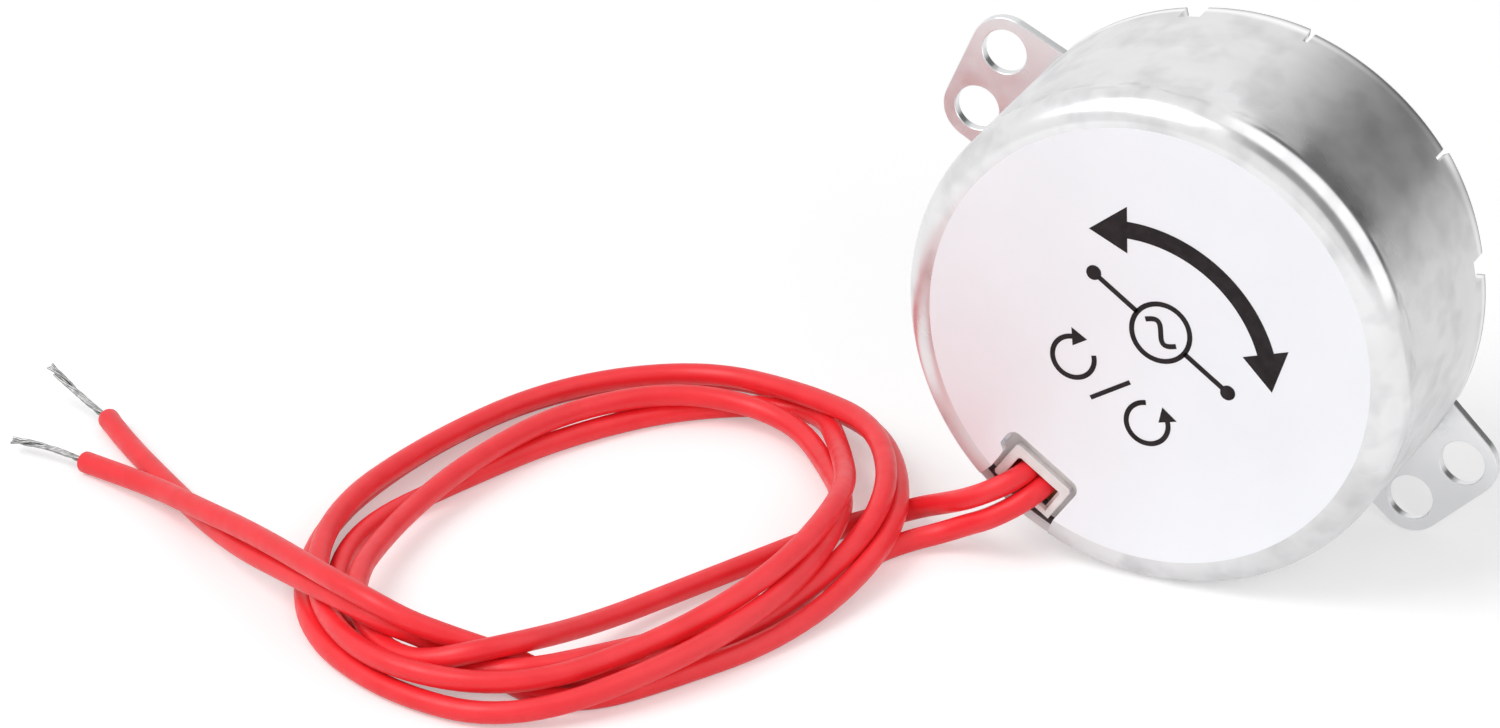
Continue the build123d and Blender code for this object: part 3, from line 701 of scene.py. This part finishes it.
def face_marks():
    """All printed marks, as one piece."""
    bm = bmesh.new()
    first, last = -90 - ARROW_HALF, -90 + ARROW_HALF
    ink_line(bm, arc(ARROW_CENTRE, ARROW_R, first, last, INK_STEPS), ARROW_LINE)
    ink_head(bm, ARROW_CENTRE, ARROW_R, last, 1, ARROW_HEAD)
    ink_head(bm, ARROW_CENTRE, ARROW_R, first, -1, ARROW_HEAD)
    ink_line(bm, arc((0, SIGN_Y), SIGN_R, 0, 360, INK_STEPS), LINE)
    wave = []
    for i in range(WAVE_STEPS + 1):
        share = i / WAVE_STEPS
        wave.append((WAVE_HALF * (2 * share - 1), SIGN_Y - WAVE_RISE * math.sin(2 * math.pi * share)))
    ink_line(bm, wave, LINE)
    for side in (-1, 1):
        ink_line(bm, [(side * SIGN_R, SIGN_Y), (side * LEG_END, SIGN_Y)], LINE)
        ink_polygon(bm, circle((side * DOT_X, SIGN_Y), DOT_R, 24))
    for side, start, end in ((-1, TURN_FROM, TURN_TO), (1, TURN_TO, TURN_FROM)):
        centre = (side * TURN_X, TURN_Y)
        ink_line(bm, arc(centre, TURN_R, start, end, INK_STEPS), LINE)
        ink_head(bm, centre, TURN_R, end, -side, TURN_HEAD)
    ink_line(bm, [(-SLASH_X, TURN_Y + TURN_R), (SLASH_X, TURN_Y - TURN_R)], SLASH_LINE)
    add_mesh("face_marks", bm, "zinc_steel", material=INK, smooth_angle=20)


face_marks()


# Leads: one spline each, in millimetres, from the exit through two loose loops to the stripped end

LOOP_CENTRE = (-46.5, -30.8)
LOOP_HALF = (25.0, 34.5)
LOOP_START = -105
LOOP_STEP = 30
WAY_OUT_A = [
    (-11.1, -13.0, 8.7), (-11.1, -13.8, 8.7), (-11.6, -15.4, 8.4), (-12.8, -16.6, 7.8), (-14.4, -17.1, 6.9),
    (-16.4, -16.8, 5.7), (-18.9, -15.6, 4.2), (-22.1, -13.9, 2.3), (-25.2, -14.8, 1.1), (-27.7, -17.9, 1.1),
    (-30.3, -23.7, 1.2), (-35.8, -35.9, 1.4), (-40.1, -48.1, 2.3), (-42.9, -61.6, 5.95),
]
LOOPS_A = [
    (0.99, 2.6), (0.94, 3.5), (0.80, 2.5), (0.74, 3.2), (0.80, 3.2), (0.84, 3.3), (0.86, 2.3), (0.80, 2.0),
    (0.86, 5.2), (0.90, 4.4), (0.97, 3.5), (1.08, 1.4), (1.05, 1.1), (1.10, 1.1), (1.10, 1.1), (1.05, 1.1),
    (1.09, 1.1), (1.09, 1.2), (1.04, 1.3), (1.02, 3.85), (1.06, 3.5), (0.97, 1.1),
]
WAY_END_A = [
    (-31.6, -55.0, 1.1), (-35.2, -59.5, 1.1), (-39.5, -60.9, 1.1), (-45.2, -58.8, 1.2), (-49.5, -58.3, 2.4),
    (-52.1, -59.5, 3.9), (-55.6, -60.8, 5.3), (-61.2, -58.5, 5.4), (-67.0, -55.2, 4.5), (-78.6, -47.5, 2.1),
    (-90.5, -37.7, 1.1), (-98.5, -31.4, 1.1), (-102.0, -28.1, 1.1),
]
WAY_OUT_B = [
    (-9.5, -13.0, 7.4), (-9.5, -13.8, 7.4), (-10.1, -15.4, 6.9), (-11.2, -16.5, 6.1), (-12.6, -17.1, 5.2),
    (-14.2, -17.3, 4.2), (-16.2, -17.0, 3.1), (-18.7, -17.2, 1.8), (-21.4, -18.8, 1.1), (-23.2, -22.4, 1.1),
    (-25.7, -30.0, 1.1), (-31.4, -44.3, 1.5), (-36.2, -54.4, 3.1), (-41.4, -61.5, 3.6),
]
LOOPS_B = [
    (0.89, 1.1), (0.99, 1.1), (0.98, 1.1), (0.76, 1.1), (0.76, 1.1), (0.86, 1.1), (1.00, 1.6), (0.83, 4.1),
    (0.86, 7.3), (0.86, 6.4), (0.84, 4.0), (0.995, 3.3), (1.055, 3.6), (1.05, 2.7), (1.06, 3.0), (0.98, 2.6),
    (1.02, 2.4), (1.00, 2.9), (0.92, 4.15), (0.98, 5.8), (1.01, 5.3), (0.85, 1.1),
]
WAY_END_B = [
    (-33.0, -53.1, 1.4), (-36.3, -56.1, 1.1), (-39.7, -57.2, 1.1), (-42.9, -57.9, 2.7), (-45.4, -59.2, 3.9),
    (-48.9, -60.1, 4.9), (-52.7, -61.3, 6.3), (-56.5, -61.2, 7.5), (-62.5, -58.6, 7.5), (-73.9, -50.9, 5.6),
    (-83.5, -45.1, 3.7), (-90.7, -40.2, 2.0), (-99.6, -37.1, 1.1),
]
WIRE_R = 1.05
CUT_END = [
    (1.052, -1.0), (1.06, -0.1), (1.05, 0.02), (1.0, 0.12),
    (0.9, 0.18), (0.6, 0.2), (0.48, 0.14), (0.44, -0.2),
]
CUT_END_SIDES = 28

# Stripped ends: lengths in millimetres, turns in radians
STRANDS = 7
STRAND_R = 0.125
STRAND_STEPS = 26
STRAND_ROOT = 0.6
STRAND_LOWEST = 0.16
STRAND_TIPS = {"a": (-109.9, -25.5, 4.0), "b": (-108.2, -36.2, 1.2)}
FIRST_TURN = {"a": 0.4, "b": 1.1}
BOW = {"a": -0.21, "b": 0.35}
TWIST, TWIST_EASES = 13.0, 0.25
BUNDLE_R = 0.24
FAN, FAN_FROM, FAN_CURVE = 0.42, 0.5, 1.3
MEAN_SHARE, SHARE_VARIES, SHARE_WAVE = 0.9, 0.1, 2.3
MEAN_FLAT, FLAT_VARIES, FLAT_WAVE = 0.55, 0.25, 3.1


def lead_route(way_out, loops, way_end):
    """Control points of a lead; its loops run clockwise, as shares of the middle loop with heights."""
    points = list(way_out)
    for k, (share, height) in enumerate(loops):
        x, y = polar(share, LOOP_START - LOOP_STEP * k)
        points.append((LOOP_CENTRE[0] + LOOP_HALF[0] * x, LOOP_CENTRE[1] + LOOP_HALF[1] * y, height))
    return points + way_end


def round_wire(name, lines, radius, slot_name, resolution, roundness):
    """Round wire along smooth splines, each with its control points in millimetres."""
    curve = bpy.data.curves.new(name, "CURVE")
    curve.dimensions = "3D"
    for points in lines:
        spline = curve.splines.new("NURBS")
        spline.points.add(len(points) - 1)
        for point, co in zip(spline.points, points):
            point.co = (*(Vector(co) * MM), 1)
        spline.order_u = 3
        spline.use_endpoint_u = True
    curve.resolution_u = resolution
    curve.bevel_depth = radius * MM
    curve.bevel_resolution = roundness
    curve.use_fill_caps = True
    curve.materials.append(MATS[slot_name])
    obj = bpy.data.objects.new(name, curve)
    scene.collection.objects.link(obj)
    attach(obj, "motor")
    return obj


def axes_along(start, end):
    """Unit vectors along a line, to its side and above it."""
    along = (Vector(end) - Vector(start)).normalized()
    side = along.cross(Vector((0, 0, 1))).normalized()
    return along, side, side.cross(along)


def strand_line(letter, end, number):
    """Control points of one tinned wire: number 0 is the core, the others twist round it and fan out."""
    tip = STRAND_TIPS[letter]
    along, side, lift = axes_along(end, tip)
    root = Vector(end) - along * STRAND_ROOT
    reach = (Vector(tip) - root).length
    share = MEAN_SHARE + SHARE_VARIES * math.sin(SHARE_WAVE * number + 1)
    points = []
    for i in range(STRAND_STEPS + 1):
        t = i / STRAND_STEPS * share
        turn = FIRST_TURN[letter] + 2 * math.pi * number / STRANDS + TWIST * t * (1 - TWIST_EASES * t)
        fan = BUNDLE_R + FAN * max(0.0, t - FAN_FROM) ** FAN_CURVE if number else 0.0
        flattened = MEAN_FLAT + FLAT_VARIES * math.sin(FLAT_WAVE * t + number)
        up = fan * math.sin(turn) * flattened + BOW[letter] * math.sin(math.pi * t)
        point = root + along * reach * t + side * fan * math.cos(turn) + lift * up
        point.z = max(point.z, STRAND_LOWEST)
        points.append(point)
    return points


def strands(letter, end):
    """Stripped end: seven tinned wires, twisted and then fanned out."""
    lines = [strand_line(letter, end, number) for number in range(STRANDS)]
    obj = round_wire(f"lead_{letter}_bare", lines, STRAND_R, "tinned_strand", resolution=4, roundness=2)
    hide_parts(f"lead_{letter}_strands")
    return obj


def lead_end(letter, end, before):
    """Cut end of the insulation, with a softened edge and a hollow for the strands."""
    along, side, lift = axes_along(before, end)
    bm = bmesh.new()
    rings = []
    for radius, reach in CUT_END:
        middle = Vector(end) + along * reach
        around = circle((0, 0), radius, CUT_END_SIDES)
        rings.append([bm.verts.new(middle + side * x + lift * y) for x, y in around])
    join_rings(bm, rings)
    bm.faces.new(rings[-1])
    return add_mesh(f"lead_{letter}_end", bm, "red_insulation", transform=TO_METRES, smooth_angle=50)


ROUTES = {
    "a": lead_route(WAY_OUT_A, LOOPS_A, WAY_END_A),
    "b": lead_route(WAY_OUT_B, LOOPS_B, WAY_END_B),
}
for letter, route in ROUTES.items():
    lead = round_wire(f"lead_{letter}", [route], WIRE_R, "red_insulation", resolution=10, roundness=6)
    bare = strands(letter, route[-1])
    collar = lead_end(letter, route[-1], route[-2])
    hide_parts(f"lead_{letter}_exit", f"lead_{letter}_loops", f"lead_{letter}_tail")


# Stage, world and lights, in metres

FLOOR_HALF = 3.0
FLOOR_TONE = 0.82
FLOOR_GLOW = 0.34
WORLD_LIGHT, WORLD_WHITE = 0.5, 1.0
CENTRE = (-0.03, -0.02, 0.01)


def seen_by(tree, *rays):
    """One for the named kinds of ray, nothing for the others."""
    path = add_node(tree, "LightPath", {}, {})
    seen = path.outputs[rays[0]]
    for ray in rays[1:]:
        seen = combined(tree, "MAXIMUM", seen, path.outputs[ray])
    return seen


def floor_material():
    """White floor that keeps the object's shadow, and stays white in reflections."""
    mat, tree, shader = new_material("floor_white")
    shader.inputs["Roughness"].default_value = 0.9
    shader.inputs["Specular IOR Level"].default_value = 0.1
    shader.inputs["Base Color"].default_value = (FLOOR_TONE, FLOOR_TONE, FLOOR_TONE, 1)
    shader.inputs["Emission Color"].default_value = (1, 1, 1, 1)
    seen = seen_by(tree, "Is Camera Ray", "Is Glossy Ray")
    tree.links.new(spread(tree, seen, 0.0, FLOOR_GLOW, 0.0, 1.0), shader.inputs["Emission Strength"])
    return mat


def stage_mesh(name, corners, faces, material):
    """Mesh that belongs to the stage."""
    me = bpy.data.meshes.new(name)
    me.from_pydata(corners, [], faces)
    me.materials.append(material)
    obj = bpy.data.objects.new(name, me)
    scene.collection.objects.link(obj)
    return obj


def lying(near, far, height):
    """Corners of a level rectangle between two opposite corners."""
    corners = ((near[0], near[1]), (far[0], near[1]), (far[0], far[1]), (near[0], far[1]))
    return [(x, y, height) for x, y in corners]


def white_world():
    """World that is white to the camera and in reflections, and gives soft light."""
    world = bpy.data.worlds.new("studio")
    world.use_nodes = True
    tree = world.node_tree
    background = tree.nodes["Background"]
    background.inputs["Color"].default_value = (1, 1, 1, 1)
    seen = seen_by(tree, "Is Camera Ray", "Is Glossy Ray", "Is Transmission Ray")
    tree.links.new(spread(tree, seen, WORLD_LIGHT, WORLD_WHITE, 0.0, 1.0), background.inputs["Strength"])
    return world


def area_light(name, location, size, power):
    """Rectangular lamp that faces the middle of the object."""
    data = bpy.data.lights.new(name, "AREA")
    data.shape = "RECTANGLE"
    data.size, data.size_y = size
    data.energy = power
    obj = bpy.data.objects.new(name, data)
    obj.location = location
    obj.rotation_euler = (Vector(CENTRE) - Vector(location)).to_track_quat("-Z", "Y").to_euler()
    scene.collection.objects.link(obj)
    return obj


floor_corners = lying((-FLOOR_HALF, -FLOOR_HALF), (FLOOR_HALF, FLOOR_HALF), 0)
stage_mesh("floor", floor_corners, [(0, 1, 2, 3)], floor_material())
scene.world = white_world()
area_light("key", (-0.45, -0.55, 0.85), (0.7, 0.7), 5.0)
fill = area_light("fill", (0.65, -0.65, 0.5), (0.35, 0.5), 2.0)
fill.visible_glossy = False


# Studio cards, in metres: they show in reflections alone

CARDS_FROM = Vector((0.0, -0.005, 0.025))
CARD_ALONG = (0.70, 0.0, -0.72)
CARD_HEIGHT = 0.002
ARCH_R = 0.45
ARCH_STEPS = 24


def card_material(name, level):
    """Plain card of an even tone."""
    mat, _, shader = new_material(name)
    shader.inputs["Base Color"].default_value = (0, 0, 0, 1)
    shader.inputs["Specular IOR Level"].default_value = 0.0
    shader.inputs["Emission Color"].default_value = (1, 1, 1, 1)
    shader.inputs["Emission Strength"].default_value = level
    return mat


def reflected(name, corners, faces, material):
    """Stage mesh that only shows in reflections."""
    obj = stage_mesh(name, corners, faces, material)
    obj.visible_camera = False
    obj.visible_diffuse = False
    obj.visible_transmission = False
    obj.visible_shadow = False


def leaning_card(name, material, direction, distance, half_along, half_across):
    """Flat card that faces the motor from a direction."""
    facing = Vector(direction).normalized()
    across = facing.cross(Vector(CARD_ALONG)).normalized()
    along = across.cross(facing).normalized()
    middle = CARDS_FROM + facing * distance
    sides = ((-1, -1), (1, -1), (1, 1), (-1, 1))
    corners = [middle + along * half_along * a + across * half_across * b for a, b in sides]
    reflected(name, corners, [(0, 1, 2, 3)], material)


def arched_strip(name, material, near_y, far_y, start, end):
    """Strip bent in an arch across the set, from start to end degrees over the right."""
    corners = []
    for x, z in arc((0, CARDS_FROM.z), ARCH_R, start, end, ARCH_STEPS):
        corners += [(x, near_y, z), (x, far_y, z)]
    faces = [(2 * i, 2 * i + 1, 2 * i + 3, 2 * i + 2) for i in range(ARCH_STEPS)]
    reflected(name, corners, faces, material)


CARD_BLACK = card_material("card_black", 0.15)
CARD_DARK = card_material("card_dark", 0.35)
CARD_GREY = card_material("card_grey", 0.6)
CARD_PALE = card_material("card_pale", 0.85)
CARD_BRIGHT = card_material("card_bright", 1.35)
leaning_card("card_back", CARD_BLACK, (0.37, 0.81, 0.31), 0.6, 0.14, 0.24)
leaning_card("card_back_rim", CARD_GREY, (0.36, 0.81, 0.30), 0.7, 0.33, 0.30)
reflected("card_behind", lying((0.03, 0.02), (0.40, 0.50), CARD_HEIGHT), [(0, 1, 2, 3)], CARD_PALE)
arched_strip("strip_front", CARD_DARK, -0.56, -0.17, 12, 82)
arched_strip("strip_bright", CARD_BRIGHT, -0.14, 0.21, 4, 86)
arched_strip("strip_over", CARD_BLACK, 0.26, 0.50, 10, 80)
arched_strip("strip_low", CARD_DARK, 0.26, 0.50, -3, 10)


# Camera

CAMERA_AT = (0.26872, -0.68095, 0.38236)
CAMERA_LOOKS = (-0.37548, 0.81114, -0.44840)

camera_data = bpy.data.cameras.new("camera")
camera_data.sensor_fit = "HORIZONTAL"
camera_data.sensor_width = 36.0
camera_data.lens = 207.9
camera_data.clip_start = 0.01
camera = bpy.data.objects.new("camera", camera_data)
camera.location = CAMERA_AT
camera.rotation_euler = Vector(CAMERA_LOOKS).to_track_quat("-Z", "Y").to_euler()
scene.collection.objects.link(camera)
scene.camera = camera

scene.view_settings.view_transform = "Standard"

bpy.context.view_layer.update()
